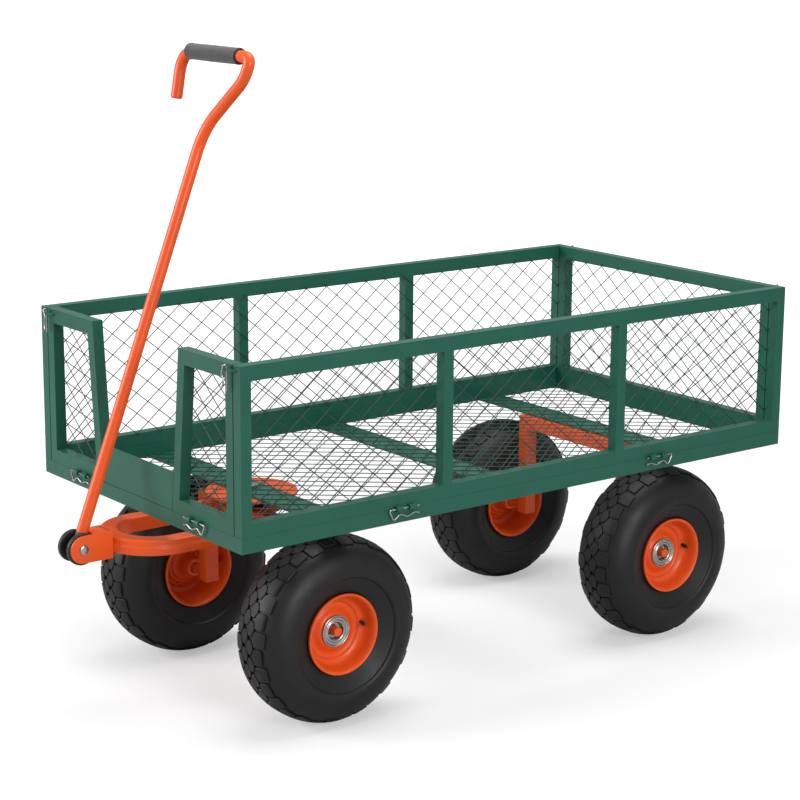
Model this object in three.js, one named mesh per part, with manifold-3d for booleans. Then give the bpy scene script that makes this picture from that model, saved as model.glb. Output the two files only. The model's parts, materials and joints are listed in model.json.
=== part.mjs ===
// Garden cart: a steel mesh wagon with a wheeled axle at each end, a steered drawbar with a pull handle,
// four fold-down side panels, the clips they hinge on and the drop pins that hold the corners together.
// Millimetres. +Z is up, the handle is at -Y, and the tyres stand on Z = 0.

import * as THREE from 'three';
import { mergeVertices } from 'three/addons/utils/BufferGeometryUtils.js';
import Module from 'manifold-3d';

const wasm = await Module();
wasm.setup();

// ---- driving dimensions -------------------------------------------------------------------------

const GAP = 0.3; // air between two pieces that touch or are welded
const OVER = 1; // how far a cutter reaches past the faces that it cuts
const BED = { length: 1210, width: 630, bottom: 350, rail: 25, wall: 20, panel: 275 };
const SEAM = BED.bottom + BED.rail; // where the panels stand on the base frame
const PANEL = { depth: 20, post: 20, top: 25, foot: 23, postAt: 195, sheet: 1, plate: 3 };
const NOTCH = { low: 111, high: 136.5, plate: 67 }; // half widths of the front notch, plate height
const TYRE = { radius: 161, width: 125, wall: 6, facets: 24 };
const RIM = { lip: 72, edge: 68.5, half: 50, barrel: 64, skin: 3, facets: 20 };
const VALVE = { length: 24, tip: 2.6, root: 3.6, across: 28, radius: 54, lean: 72, turn: 5 };
const WHEEL = { track: 446, base: 376 }; // spread of the tyre centres, axle distance from mid bed
const AXLE = { radius: 8, half: 256, tube: 25, leg: 153, lip: 3.5 };
const HINGE = { out: 5, knuckle: 4.5, bore: 1.9, wire: 1.5, side: 290, end: 185 };
const SWIVEL = { y: -377, lower: 55, upper: 80, bush: 28, thick: 5 };
const DRAWBAR = { radius: 92, band: 32, height: 26, skin: 3, top: 319, front: -575 };
const PIVOT = { y: -720, z: 307, lean: 20.9, bolt: 5, head: 8, nut: 8.5, nutWidth: 6, tail: 8 };
const FORK = { inner: 18.5, skin: 3, lobe: 23.5, rear: -667, stop: -699.8 };
const HANDLE = { radius: 10, reach: 716, foot: 12, bend: 24, loopLean: 11, grip: 150, sleeve: 14 };
const DISC = { radius: 27, inner: 10.6 };
const BODY_SHIFT = (BED.length / 2 + HINGE.out + HINGE.knuckle - (DISC.radius - PIVOT.y)) / -2;

// ---- finishes -----------------------------------------------------------------------------------

const finish = (color, roughness, metalness) => () =>
  new THREE.MeshStandardMaterial({ color, roughness, metalness });
const greenPaint = finish(0x3f7560, 0.5, 0.1);
const greenWire = finish(0x1c4a3a, 0.55, 0.2);
const orangePaint = finish(0xe05a2c, 0.45, 0.1);
const rubber = finish(0x242426, 0.85, 0);
const blackPlastic = finish(0x1d1d1e, 0.6, 0);
const foam = finish(0x555354, 0.9, 0);
const zinc = finish(0xc4c6c8, 0.35, 0.9);

// ---- solids -------------------------------------------------------------------------------------

function toSolid(geometry) {
  const bare = geometry.clone();
  bare.deleteAttribute('normal');
  bare.deleteAttribute('uv');
  const merged = mergeVertices(bare, 1e-4);
  return new wasm.Manifold(
    new wasm.Mesh({
      numProp: 3,
      vertProperties: new Float32Array(merged.attributes.position.array),
      triVerts: new Uint32Array(merged.index.array),
    }),
  );
}

function toGeometry(solid) {
  const mesh = solid.getMesh();
  const geometry = new THREE.BufferGeometry();
  geometry.setAttribute('position', new THREE.BufferAttribute(new Float32Array(mesh.vertProperties), 3));
  geometry.setIndex(new THREE.BufferAttribute(new Uint32Array(mesh.triVerts), 1));
  return geometry;
}

// joins every geometry in `parts` and cuts every geometry in `cuts` out of them
function carve(parts, cuts = []) {
  let solid = toSolid(parts[0]);
  for (const part of parts.slice(1)) solid = solid.add(toSolid(part));
  for (const cut of cuts) solid = solid.subtract(toSolid(cut));
  return toGeometry(solid);
}

// an axis-aligned block between two corners
function block(low, high) {
  const size = high.map((h, i) => h - low[i]);
  const geometry = new THREE.BoxGeometry(...size);
  return geometry.translate(...low.map((l, i) => l + size[i] / 2));
}

// a round bar between two points on a line along X, Y or Z
function bar(axis, radius, from, to, at, sides = 20) {
  const geometry = new THREE.CylinderGeometry(radius, radius, to - from, sides);
  if (axis === 'x') geometry.rotateZ(Math.PI / 2);
  if (axis === 'z') geometry.rotateX(Math.PI / 2);
  const centre = { x: 0, y: 0, z: 0, ...at, [axis]: (from + to) / 2 };
  return geometry.translate(centre.x, centre.y, centre.z);
}

function outline(points) {
  return new THREE.Shape(points.map(([x, y]) => new THREE.Vector2(x, y)));
}

const rectangle = (x0, y0, x1, y1) => [[x0, y0], [x1, y0], [x1, y1], [x0, y1]];

function slab(shape, depth, segments = 12) {
  return new THREE.ExtrudeGeometry(shape, { depth, bevelEnabled: false, curveSegments: segments });
}

// a shape drawn in X (across) and Y (up), stood upright facing -Y, its back `depth` behind its face
function standing(shape, faceY, depth) {
  return slab(shape, depth).rotateX(Math.PI / 2).translate(0, faceY + depth, 0);
}

// a standing plate with windows cut through it
function framed(shape, windows, faceY, depth) {
  const cuts = windows.map((window) => standing(window, faceY - OVER, depth + 2 * OVER));
  return carve([standing(shape, faceY, depth)], cuts);
}

// a round section swept along straight runs joined by smooth corners
function sweep(points, corner, radius, sides, steps) {
  const path = new THREE.CurvePath();
  const at = points.map((p) => new THREE.Vector3(...p));
  let start = at[0];
  for (let i = 1; i < at.length - 1; i += 1) {
    const back = at[i - 1].clone().sub(at[i]);
    const ahead = at[i + 1].clone().sub(at[i]);
    const cut = Math.min(corner, back.length() * 0.48, ahead.length() * 0.48);
    const enter = at[i].clone().addScaledVector(back.normalize(), cut);
    const leave = at[i].clone().addScaledVector(ahead.normalize(), cut);
    path.add(new THREE.LineCurve3(start, enter));
    path.add(new THREE.QuadraticBezierCurve3(enter, at[i], leave));
    start = leave;
  }
  path.add(new THREE.LineCurve3(start, at.at(-1)));
  const section = new THREE.Shape();
  for (let i = 0; i < sides; i += 1) {
    const turn = ((i + 0.5) / sides) * 2 * Math.PI;
    const spot = [radius * Math.cos(turn), radius * Math.sin(turn)];
    if (i === 0) section.moveTo(...spot);
    else section.lineTo(...spot);
  }
  section.closePath();
  return new THREE.ExtrudeGeometry(section, { extrudePath: path, steps, bevelEnabled: false });
}

// a closed section [across, radius] turned about the X axis, with a flat facet at the bottom
function turned(section, facets) {
  const points = [...section, section[0]].map(([across, radius]) => new THREE.Vector2(radius, across));
  return new THREE.LatheGeometry(points, facets, Math.PI / facets).rotateZ(-Math.PI / 2);
}

const cart = new THREE.Group();

function add(parent, name, geometry, material) {
  const mesh = new THREE.Mesh(geometry, material());
  mesh.name = name;
  parent.add(mesh);
  return mesh;
}

// ---- hinge knuckles, and the clips that pin them ------------------------------------------------

// Every side of the bed is drawn as the front one, facing -Y, then turned round to its place:
// X runs along the seam and the panel's face is at Y = -reach.
const half = { x: BED.width / 2, y: BED.length / 2 };
const inside = { x: half.x - BED.wall, y: half.y - BED.wall };
const SIDES = {
  front: { turn: 0, reach: half.y, hinge: HINGE.end, ends: ['left', 'right'] },
  right: { turn: Math.PI / 2, reach: half.x, hinge: HINGE.side, ends: ['front', 'rear'] },
  rear: { turn: Math.PI, reach: half.y, hinge: HINGE.end, ends: ['right', 'left'] },
  left: { turn: -Math.PI / 2, reach: half.x, hinge: HINGE.side, ends: ['rear', 'front'] },
};
const KNUCKLE = { base: [-24, -10], panel: [4, 16] }; // stretch of the pin that each barrel holds

// a barrel on the pin's axis, and the web that welds it to the rail above or below the seam
function knuckle(kind, reach, at, towards) {
  const [from, to] = KNUCKLE[kind].map((v) => at + v * towards).sort((a, b) => a - b);
  const axis = { y: -reach - HINGE.out, z: SEAM };
  const rise = kind === 'base' ? [-HINGE.knuckle, -GAP] : [GAP, HINGE.knuckle];
  return {
    barrel: bar('x', HINGE.knuckle, from, to, axis, 8),
    web: block([from, axis.y, SEAM + rise[0]], [to, -reach + 1, SEAM + rise[1]]),
    hole: bar('x', HINGE.bore, from - OVER, to + OVER, axis, 8),
  };
}

function withKnuckles(geometry, kind, side) {
  const { reach, hinge } = SIDES[side];
  const pair = [-1, 1].map((towards) => knuckle(kind, reach, towards * hinge, towards));
  return carve([geometry, ...pair.flatMap((k) => [k.barrel, k.web])], pair.map((k) => k.hole));
}

// hairpin clip: a straight leg through the knuckles, a loop at one end and a wavy leg hanging below
function hairClip(side, towards) {
  const { reach, hinge } = SIDES[side];
  const wave = [[-30, 0], [33, 0], [23, -19], [11, -8.5], [-6, -15.5], [-20, -9.5], [-30, -12.5]];
  const points = wave.map(([along, up]) => [towards * (hinge + along), -reach - HINGE.out, SEAM + up]);
  return sweep(points, 5, HINGE.wire, 5, 28);
}

// ---- base frame and floor -----------------------------------------------------------------------

const KING = { radius: 8, head: 13, headHeight: 6 };
const FLOOR_BAR = { width: 60, thick: 4 };

function baseFrame() {
  const hollow = block([-inside.x, -inside.y, BED.bottom - OVER], [inside.x, inside.y, SEAM + OVER]);
  let frame = carve([block([-half.x, -half.y, BED.bottom], [half.x, half.y, SEAM])], [hollow]);
  for (const [side, { turn }] of Object.entries(SIDES)) {
    frame = withKnuckles(frame.rotateZ(-turn), 'base', side).rotateZ(turn);
  }
  return frame;
}

function floorBar(y) {
  const low = [-inside.x + GAP, y - FLOOR_BAR.width / 2, BED.bottom];
  const high = [inside.x - GAP, y + FLOOR_BAR.width / 2, BED.bottom + FLOOR_BAR.thick];
  const hole = bar('z', KING.radius + GAP, low[2] - OVER, high[2] + OVER, { y: SWIVEL.y });
  return y === SWIVEL.y ? carve([block(low, high)], [hole]) : block(low, high);
}

function floorSheet() {
  const low = BED.bottom + FLOOR_BAR.thick + GAP;
  const high = low + PANEL.sheet;
  const sheet = block([GAP - inside.x, GAP - inside.y, low], [inside.x - GAP, inside.y - GAP, high]);
  return carve([sheet], [bar('z', KING.head + 2, low - OVER, high + OVER, { y: SWIVEL.y })]);
}

add(cart, 'base_frame', baseFrame(), greenPaint);
add(cart, 'floor_bar_front', floorBar(SWIVEL.y), greenPaint);
add(cart, 'floor_bar_middle', floorBar(0), greenPaint);
add(cart, 'floor_bar_rear', floorBar(WHEEL.base + 30), greenPaint);
add(cart, 'floor_mesh', floorSheet(), greenWire);

// ---- side and end panels ------------------------------------------------------------------------

const foot = SEAM + GAP;
const top = SEAM + BED.panel;
const windowFoot = SEAM + PANEL.foot;
const windowTop = top - PANEL.top;
const lap = PANEL.post / 2; // how far a mesh sheet laps onto its frame
const endReach = inside.x - PANEL.sheet - 4 * GAP; // half width of an end panel
const LUG = { z: 640, thick: 3, half: 20, out: HINGE.out + HINGE.knuckle, at: endReach - 7, hole: 2.3 };
const PIN = { radius: 1.7, drop: 32, head: 5, bend: 9, ahead: 5.5 };

function meshSheet(shape, reach) {
  return standing(shape, -reach + PANEL.depth + GAP, PANEL.sheet);
}

function longFrame(side) {
  const posts = [-half.y, -PANEL.postAt, PANEL.postAt, half.y];
  const windows = posts.slice(1).map((right, i) => {
    const left = posts[i];
    const from = i === 0 ? left + PANEL.post : left + PANEL.post / 2;
    const to = i === 2 ? right - PANEL.post : right - PANEL.post / 2;
    return outline(rectangle(from, windowFoot, to, windowTop));
  });
  const shape = outline(rectangle(-half.y, foot, half.y, top));
  return withKnuckles(framed(shape, windows, -half.x, PANEL.depth), 'panel', side);
}

// an oval lug on the face of an end panel, reaching past it over the side panel's post
function withLugs(geometry, handedness) {
  const face = -half.y;
  const plates = handedness.map((hand) => {
    const oval = new THREE.Shape().absellipse(hand * LUG.at, face, LUG.half, LUG.out, 0, 2 * Math.PI);
    return slab(oval, LUG.thick, 12).translate(0, 0, LUG.z);
  });
  const cuts = handedness.flatMap((hand) => {
    const past = [hand * endReach, hand * half.x].sort((a, b) => a - b);
    const low = LUG.z - OVER;
    const high = LUG.z + LUG.thick + OVER;
    return [
      block([past[0], face - GAP, low], [past[1], face + LUG.out + OVER, high]),
      bar('z', LUG.hole, low, high, { x: hand * LUG.at, y: face - PIN.ahead }, 12),
    ];
  });
  return carve([geometry, ...plates], cuts);
}

// drop pin: a straight shank through the lug, its top bent over to stop on the lug
function dropPin(hand) {
  const x = hand * LUG.at;
  const y = -half.y - PIN.ahead;
  const head = LUG.z + LUG.thick + PIN.radius + GAP;
  const aside = x - hand * PIN.bend;
  const points = [[aside, y, head + PIN.head], [aside, y, head], [x, y, head], [x, y, LUG.z - PIN.drop]];
  return sweep(points, 2.5, PIN.radius, 6, 12);
}

function rearFrame() {
  const window = outline(rectangle(PANEL.post - endReach, windowFoot, endReach - PANEL.post, windowTop));
  const shape = outline(rectangle(-endReach, foot, endReach, top));
  return withLugs(withKnuckles(framed(shape, [window], -half.y, PANEL.depth), 'panel', 'rear'), [-1, 1]);
}

// the notch's edge leans out as it rises
const notchAt = (z) => NOTCH.low + ((NOTCH.high - NOTCH.low) * (z - SEAM)) / BED.panel;

// one half of the front panel, set in from its edges, on the +X side (hand 1) or the -X side (hand -1)
function frontHalf(hand, inset, low, high) {
  const corners = [
    [notchAt(low) + inset, low], [endReach - inset, low],
    [endReach - inset, high], [notchAt(high) + inset, high],
  ].map(([x, z]) => [hand * x, z]);
  return outline(hand > 0 ? corners : corners.reverse());
}

function centrePlate() {
  const high = SEAM + NOTCH.plate;
  const shape = outline([
    [GAP - notchAt(foot), foot], [notchAt(foot) - GAP, foot],
    [notchAt(high) - GAP, high], [GAP - notchAt(high), high],
  ]);
  return standing(shape, -half.y, PANEL.plate);
}

// the front panel's halves each carry one knuckle and one lug
function frontHalfFrame(hand) {
  const { reach, hinge } = SIDES.front;
  const k = knuckle('panel', reach, hand * hinge, hand);
  const window = frontHalf(hand, PANEL.post, windowFoot, windowTop);
  const frame = framed(frontHalf(hand, 0, foot, top), [window], -half.y, PANEL.depth);
  return withLugs(carve([frame, k.barrel, k.web], [k.hole]), [hand]);
}

const HANDS = { left: -1, right: 1 };
function turnedTo(side) {
  const group = new THREE.Group();
  group.rotation.z = SIDES[side].turn;
  cart.add(group);
  return group;
}

for (const side of Object.keys(HANDS)) {
  const place = turnedTo(side);
  const sheet = outline(rectangle(-half.y + lap, windowFoot - lap, half.y - lap, windowTop + lap));
  add(place, `${side}_panel_frame`, longFrame(side), greenPaint);
  add(place, `${side}_panel_mesh`, meshSheet(sheet, half.x), greenWire);
}

const rear = turnedTo('rear');
const rearSheet = outline(rectangle(lap - endReach, windowFoot - lap, endReach - lap, windowTop + lap));
add(rear, 'rear_panel_frame', rearFrame(), greenPaint);
add(rear, 'rear_panel_mesh', meshSheet(rearSheet, half.y), greenWire);

for (const [name, hand] of Object.entries(HANDS)) {
  add(cart, `front_panel_${name}_frame`, frontHalfFrame(hand), greenPaint);
  const sheet = frontHalf(hand, lap, windowFoot - lap, windowTop + lap);
  add(cart, `front_panel_${name}_mesh`, meshSheet(sheet, half.y), greenWire);
  add(cart, `front_drop_pin_${name}`, dropPin(hand), zinc);
  add(rear, `rear_drop_pin_${hand < 0 ? 'right' : 'left'}`, dropPin(hand), zinc);
}
add(cart, 'front_panel_plate', centrePlate(), greenPaint);

for (const side of Object.keys(SIDES)) {
  const place = turnedTo(side);
  const [before, after] = SIDES[side].ends;
  add(place, `${side}_clip_${before}`, hairClip(side, -1), zinc);
  add(place, `${side}_clip_${after}`, hairClip(side, 1), zinc);
}

// ---- axles --------------------------------------------------------------------------------------

const axleZ = TYRE.radius;

// an upside-down U of square tube: a beam across, a leg at each end, and a stub axle out of each leg
function axleFrame(y, beamTop, cuts = []) {
  const footZ = axleZ - AXLE.radius - AXLE.lip;
  const inner = AXLE.leg - AXLE.tube;
  const shape = outline([
    [-AXLE.leg, footZ], [-inner, footZ], [-inner, beamTop - AXLE.tube], [inner, beamTop - AXLE.tube],
    [inner, footZ], [AXLE.leg, footZ], [AXLE.leg, beamTop], [-AXLE.leg, beamTop],
  ]);
  const frame = standing(shape, y - AXLE.tube / 2, AXLE.tube);
  const rightStub = bar('x', AXLE.radius, AXLE.leg - OVER, AXLE.half, { y, z: axleZ });
  const leftStub = bar('x', AXLE.radius, -AXLE.half, OVER - AXLE.leg, { y, z: axleZ });
  return carve([frame, rightStub, leftStub], cuts);
}

const beamTop = DRAWBAR.top - 1;
const beamFoot = beamTop - AXLE.tube;
const kingHole = bar('z', KING.radius + GAP, beamFoot - OVER, beamTop + OVER, { y: SWIVEL.y });
const rearTop = BED.bottom - GAP;

add(cart, 'rear_axle_frame', axleFrame(WHEEL.base, rearTop), orangePaint);
add(cart, 'front_axle_frame', axleFrame(SWIVEL.y, beamTop, [kingHole]), orangePaint);

// ---- turntable ----------------------------------------------------------------------------------

const upperPlate = { low: BED.bottom - GAP - SWIVEL.thick, high: BED.bottom - GAP };
const lowerPlate = { low: beamTop + GAP, high: beamTop + GAP + SWIVEL.thick };

// a round plate with the king pin's hole through it
function ring(radius, low, high) {
  const hole = bar('z', KING.radius + GAP, low - OVER, high + OVER, { y: SWIVEL.y });
  return carve([bar('z', radius, low, high, { y: SWIVEL.y }, 28)], [hole]);
}

add(cart, 'turntable_upper', ring(SWIVEL.upper, upperPlate.low, upperPlate.high), orangePaint);
add(cart, 'turntable_lower', ring(SWIVEL.lower, lowerPlate.low, lowerPlate.high), orangePaint);
add(cart, 'thrust_bush', ring(SWIVEL.bush, lowerPlate.high + GAP, upperPlate.low - GAP), blackPlastic);

// the king pin's head sits over the floor bar, and its foot is upset into a collar under the beam
function kingPin() {
  const headFoot = BED.bottom + FLOOR_BAR.thick + GAP;
  const foot = beamFoot - KING.headHeight;
  const head = bar('z', KING.head, headFoot, headFoot + KING.headHeight, { y: SWIVEL.y }, 6);
  const shank = bar('z', KING.radius, foot, headFoot + OVER, { y: SWIVEL.y });
  const collar = bar('z', KING.head, foot, beamFoot - GAP, { y: SWIVEL.y });
  return carve([head, shank, collar]);
}
add(cart, 'king_pin', kingPin(), zinc);

// ---- drawbar and fork ---------------------------------------------------------------------------

// the drawbar's plan: straight arms from the axle joined by a half circle at the front
function drawbarPlan(radius, back) {
  const shape = new THREE.Shape();
  shape.moveTo(radius, back);
  shape.lineTo(-radius, back);
  shape.lineTo(-radius, DRAWBAR.front);
  shape.absarc(0, DRAWBAR.front, radius, Math.PI, 2 * Math.PI, false);
  shape.closePath();
  return shape;
}

function drawbar() {
  const back = SWIVEL.y - AXLE.tube / 2 - GAP;
  const { radius, band, height, skin, top: high } = DRAWBAR;
  const low = high - height;
  const solid = (r, from, to, over) => slab(drawbarPlan(r, back + over), to - from, 20).translate(0, 0, from);
  const roof = solid(radius - skin, low - OVER, high - skin, OVER);
  const core = solid(radius - band + skin, low - 2 * OVER, high, 2 * OVER);
  const middle = solid(radius - band, low - OVER, high + OVER, OVER);
  return carve([solid(radius, low, high, 0)], [carve([roof], [core]), middle]);
}

// one cheek of the fork, drawn in Y and Z: a round lobe about the pivot, square at the drawbar
const forkRear = FORK.rear + 2;
const forkFace = { low: PIVOT.z - FORK.lobe, high: PIVOT.z + FORK.lobe };

function cheek(hand) {
  const shape = new THREE.Shape();
  shape.moveTo(forkRear, forkFace.high);
  shape.lineTo(PIVOT.y, forkFace.high);
  shape.absarc(PIVOT.y, PIVOT.z, FORK.lobe, Math.PI / 2, 1.5 * Math.PI, false);
  shape.lineTo(forkRear, forkFace.low);
  shape.closePath();
  const plate = slab(shape, FORK.skin, 12).applyMatrix4(new THREE.Matrix4().makeBasis(
    new THREE.Vector3(0, 1, 0), new THREE.Vector3(0, 0, 1), new THREE.Vector3(1, 0, 0),
  ));
  return plate.translate(hand > 0 ? FORK.inner : -FORK.inner - FORK.skin, 0, 0);
}

// the hole that the pivot bolt passes through, right across the fork
function pivotBore(at = PIVOT) {
  return bar('x', PIVOT.bolt + GAP, -2 * DISC.radius, 2 * DISC.radius, at);
}

function fork() {
  const wide = FORK.inner + OVER;
  const rear = FORK.rear - GAP;
  const web = block([-wide, rear - FORK.skin, forkFace.low], [wide, rear, forkFace.high]);
  const lid = block([-wide, FORK.stop, forkFace.high - FORK.skin], [wide, rear, forkFace.high]);
  const hoop = slab(drawbarPlan(DRAWBAR.radius + GAP, SWIVEL.y), 3 * FORK.lobe, 40);
  return carve([cheek(1), cheek(-1), web, lid], [pivotBore(), hoop.translate(0, 0, forkFace.low - OVER)]);
}

function pivotBolt() {
  const outer = FORK.inner + FORK.skin;
  const shank = bar('x', PIVOT.bolt, -outer - PIVOT.tail, outer + OVER, PIVOT);
  const head = bar('x', PIVOT.head, outer + GAP, outer + PIVOT.head / 2, PIVOT, 20);
  return carve([shank, head]);
}

function pivotNut() {
  const outer = -FORK.inner - FORK.skin - GAP;
  return carve([bar('x', PIVOT.nut, outer - PIVOT.nutWidth, outer, PIVOT, 6)], [pivotBore()]);
}

function pivotDisc(hand) {
  const near = hand * DISC.inner;
  const far = hand * (FORK.inner - GAP);
  const [from, to] = [near, far].sort((a, b) => a - b);
  return carve([bar('x', DISC.radius, from, to, PIVOT, 32)], [pivotBore()]);
}

add(cart, 'drawbar', drawbar(), orangePaint);
add(cart, 'handle_fork', fork(), orangePaint);
add(cart, 'pivot_bolt', pivotBolt(), zinc);
add(cart, 'pivot_nut', pivotNut(), zinc);
for (const [name, hand] of Object.entries(HANDS)) {
  add(cart, `pivot_disc_${name}`, pivotDisc(hand), blackPlastic);
}

// ---- pull handle --------------------------------------------------------------------------------

// Drawn upright from the pivot: the tube rises along Z, and its loop lies in the XZ plane, tipped
// forward of the tube by the difference between the two leans.
const rad = THREE.MathUtils.degToRad;
const loopTip = rad(HANDLE.loopLean - PIVOT.lean);
const inLoop = ([x, up]) => [x, up * Math.sin(loopTip), HANDLE.reach + up * Math.cos(loopTip)];
const loopTop = 125;
const loop = [[0, 0], [96, 88], [106, loopTop], [-100, loopTop], [-97, 44]];

function handleTube() {
  const points = [[0, 0, -HANDLE.foot], ...loop.map(inLoop)];
  const tube = sweep(points, HANDLE.bend, HANDLE.radius, 10, 52);
  return carve([tube], [pivotBore({})]);
}

function grip() {
  const sleeve = bar('x', HANDLE.sleeve, -HANDLE.grip / 2, HANDLE.grip / 2, {}, 20);
  const bore = bar('x', HANDLE.radius + 3 * GAP, -HANDLE.grip, HANDLE.grip, {}, 16);
  return carve([sleeve], [bore]).translate(...inLoop([0, loopTop]));
}

const handle = new THREE.Group();
handle.position.set(0, PIVOT.y, PIVOT.z);
handle.rotation.x = -rad(PIVOT.lean);
cart.add(handle);
add(handle, 'handle_tube', handleTube(), orangePaint);
add(handle, 'handle_grip', grip(), foam);

// ---- wheels -------------------------------------------------------------------------------------

// sections are [across, radius], across being measured outwards from the wheel's middle
const mirrored = (side) => [...side, ...side.map(([across, radius]) => [-across, radius]).reverse()];

function tyre() {
  const edge = TYRE.width / 2;
  const bead = RIM.lip + 1;
  const tread = TYRE.radius / Math.cos(Math.PI / TYRE.facets); // puts the middle of each facet on the ground
  const outer = [[44, bead], [57, 90], [edge, 114], [57, 141], [38, 156], [12, tread]];
  const { wall } = TYRE;
  const inner = [[44 - wall * 1.5, bead], [52, 94], [edge - wall, 114], [50, 137], [32, 149]];
  return turned([...mirrored(inner), ...mirrored(outer).reverse()], TYRE.facets);
}

// drop-centre rim with a dished disc and a hub tube: outer face first, then the tyre's side
const HUB = { bore: AXLE.radius + GAP, radius: 16, flange: 28, face: 24 };

function rim() {
  const { lip, edge, half: wide, barrel, skin } = RIM;
  const section = [
    [wide, edge], [wide - 1, lip], [wide - 6, lip], [wide - 9, barrel], [9 - wide, barrel], [6 - wide, lip],
    [1 - wide, lip], [-wide, edge], [9 - wide, barrel - skin], [-8, barrel - skin],
    [0, 50], [-2, 34], [-34, 30], [-38, HUB.radius], [-38, HUB.bore], [HUB.face, HUB.bore],
    [HUB.face, 30], [14, 36], [8, 50], [14, barrel - skin], [wide - 9, barrel - skin],
  ];
  return turned(section.reverse(), RIM.facets);
}

function bearing() {
  const face = HUB.face + GAP;
  const section = [
    [face, HUB.bore], [face, HUB.flange], [face + 2, HUB.flange], [face + 2, 20], [face + 5.5, 17],
    [face + 5.5, 11.5], [face + 3.5, 11.5], [face + 3.5, HUB.bore],
  ];
  return turned(section, RIM.facets);
}

function valve() {
  const stem = new THREE.CylinderGeometry(VALVE.tip, VALVE.root, VALVE.length, 8).rotateZ(-rad(VALVE.lean));
  return stem.translate(VALVE.across, VALVE.radius, 0).rotateX(rad(VALVE.turn));
}

for (const [end, y] of Object.entries({ front: SWIVEL.y, rear: WHEEL.base })) {
  for (const [side, hand] of Object.entries(HANDS)) {
    const wheel = new THREE.Group();
    const turn = hand > 0 ? 0 : Math.PI;
    wheel.position.set((hand * WHEEL.track) / 2, y, axleZ);
    cart.add(wheel);
    add(wheel, `${end}_${side}_tyre`, tyre(), rubber);
    add(wheel, `${end}_${side}_rim`, rim().rotateZ(turn), orangePaint);
    add(wheel, `${end}_${side}_bearing`, bearing().rotateZ(turn), zinc);
    add(wheel, `${end}_${side}_valve`, valve(), rubber);
  }
}

cart.position.y = BODY_SHIFT;

export default cart;
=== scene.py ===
"""Garden cart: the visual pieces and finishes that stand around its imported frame.

Lengths are in metres in the frame's own axes: +Z up, the pull handle at -Y, X across the cart.
"""

import json
import math

import bmesh
import bpy
from mathutils import Matrix, Vector


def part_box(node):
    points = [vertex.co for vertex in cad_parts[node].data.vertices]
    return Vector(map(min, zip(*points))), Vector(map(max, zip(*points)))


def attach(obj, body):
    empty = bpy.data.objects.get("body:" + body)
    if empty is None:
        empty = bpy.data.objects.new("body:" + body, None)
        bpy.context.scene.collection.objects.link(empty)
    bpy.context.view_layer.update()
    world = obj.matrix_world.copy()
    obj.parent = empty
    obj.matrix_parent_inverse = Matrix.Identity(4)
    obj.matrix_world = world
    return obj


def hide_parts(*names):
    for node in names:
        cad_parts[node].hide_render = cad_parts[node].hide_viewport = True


bl_info = {
    "name": "Garden Cart",
    "version": (1, 0, 0),
    "blender": (4, 5, 0),
    "location": "View3D > Sidebar > Garden Cart",
    "description": "Builds the finished pieces of a mesh-sided garden cart around its frame",
    "category": "Object",
}

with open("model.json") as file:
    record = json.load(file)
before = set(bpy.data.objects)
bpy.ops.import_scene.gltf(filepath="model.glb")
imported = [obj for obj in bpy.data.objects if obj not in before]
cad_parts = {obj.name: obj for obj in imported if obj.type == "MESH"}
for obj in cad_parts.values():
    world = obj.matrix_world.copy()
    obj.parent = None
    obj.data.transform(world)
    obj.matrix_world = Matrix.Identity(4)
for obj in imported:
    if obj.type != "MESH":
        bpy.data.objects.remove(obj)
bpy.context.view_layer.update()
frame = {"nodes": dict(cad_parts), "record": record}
RECORD = frame["record"]
BODY_OF = {node: body for body, nodes in RECORD["behaviour"]["bodies"].items() for node in nodes}
SLOT_OF = {part["node"]: part["material_slot"] for part in RECORD["subparts"]}
JOINT_AT = {joint["name"]: joint for joint in RECORD["behaviour"]["joints"]}

ENDS = ("front", "rear")
HANDS = {"left": -1, "right": 1}
WHEELS = [(end, side) for end in ENDS for side in HANDS]
X, Y, Z = (Vector(axis) for axis in ((1, 0, 0), (0, 1, 0), (0, 0, 1)))


# ---- settings -----------------------------------------------------------------------------------


def length(name, description, default):
    return bpy.props.FloatProperty(name=name, description=description, default=default, unit="LENGTH")


def slant(name, description, degrees):
    return bpy.props.FloatProperty(
        name=name, description=description, default=math.radians(degrees), subtype="ANGLE"
    )


def colour(name, description, default):
    return bpy.props.FloatVectorProperty(
        name=name, description=description, default=default, size=3, subtype="COLOR", min=0, max=1
    )


class CartColours(bpy.types.PropertyGroup):
    """Colours of the cart's finishes"""

    green: colour("Green coat", "Powder coat on the bed and panels", (0.007, 0.094, 0.060))
    wire: colour("Wire coat", "Powder coat on the mesh wire", (0.006, 0.040, 0.026))
    orange: colour("Orange coat", "Powder coat on the running gear and handle", (0.76, 0.088, 0.010))
    rubber: colour("Rubber", "Tyre rubber", (0.0048, 0.0044, 0.0047))
    plastic: colour("Plastic", "Black plastic and valve rubber", (0.006, 0.006, 0.006))
    foam: colour("Foam", "Grip foam", (0.036, 0.034, 0.035))
    zinc: colour("Zinc", "Zinc plate on clips, pins and bolts", (0.44, 0.43, 0.42))


class CartSheetMetal(bpy.types.PropertyGroup):
    """Edges of the cart's tubes and plates"""

    tube_edge: length("Tube edge", "Radius on the edges of square tubes and rails", 0.0016)
    plate_edge: length("Plate edge", "Radius on the edges of thin plates", 0.0007)
    arm_edge: length("Drawbar edge", "Radius on the upper edges of the drawbar channel", 0.005)


class CartWire(bpy.types.PropertyGroup):
    """Wire mesh of the floor and the panels"""

    diameter: length("Wire diameter", "Diameter of the mesh wire", 0.0017)
    across: length("Diamond width", "Width of one diamond of the mesh", 0.047)
    up: length("Diamond height", "Height of one diamond of the mesh", 0.038)
    trim: length("Trim", "How far the wires stop short of the edge of a panel's sheet", 0.006)


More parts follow.
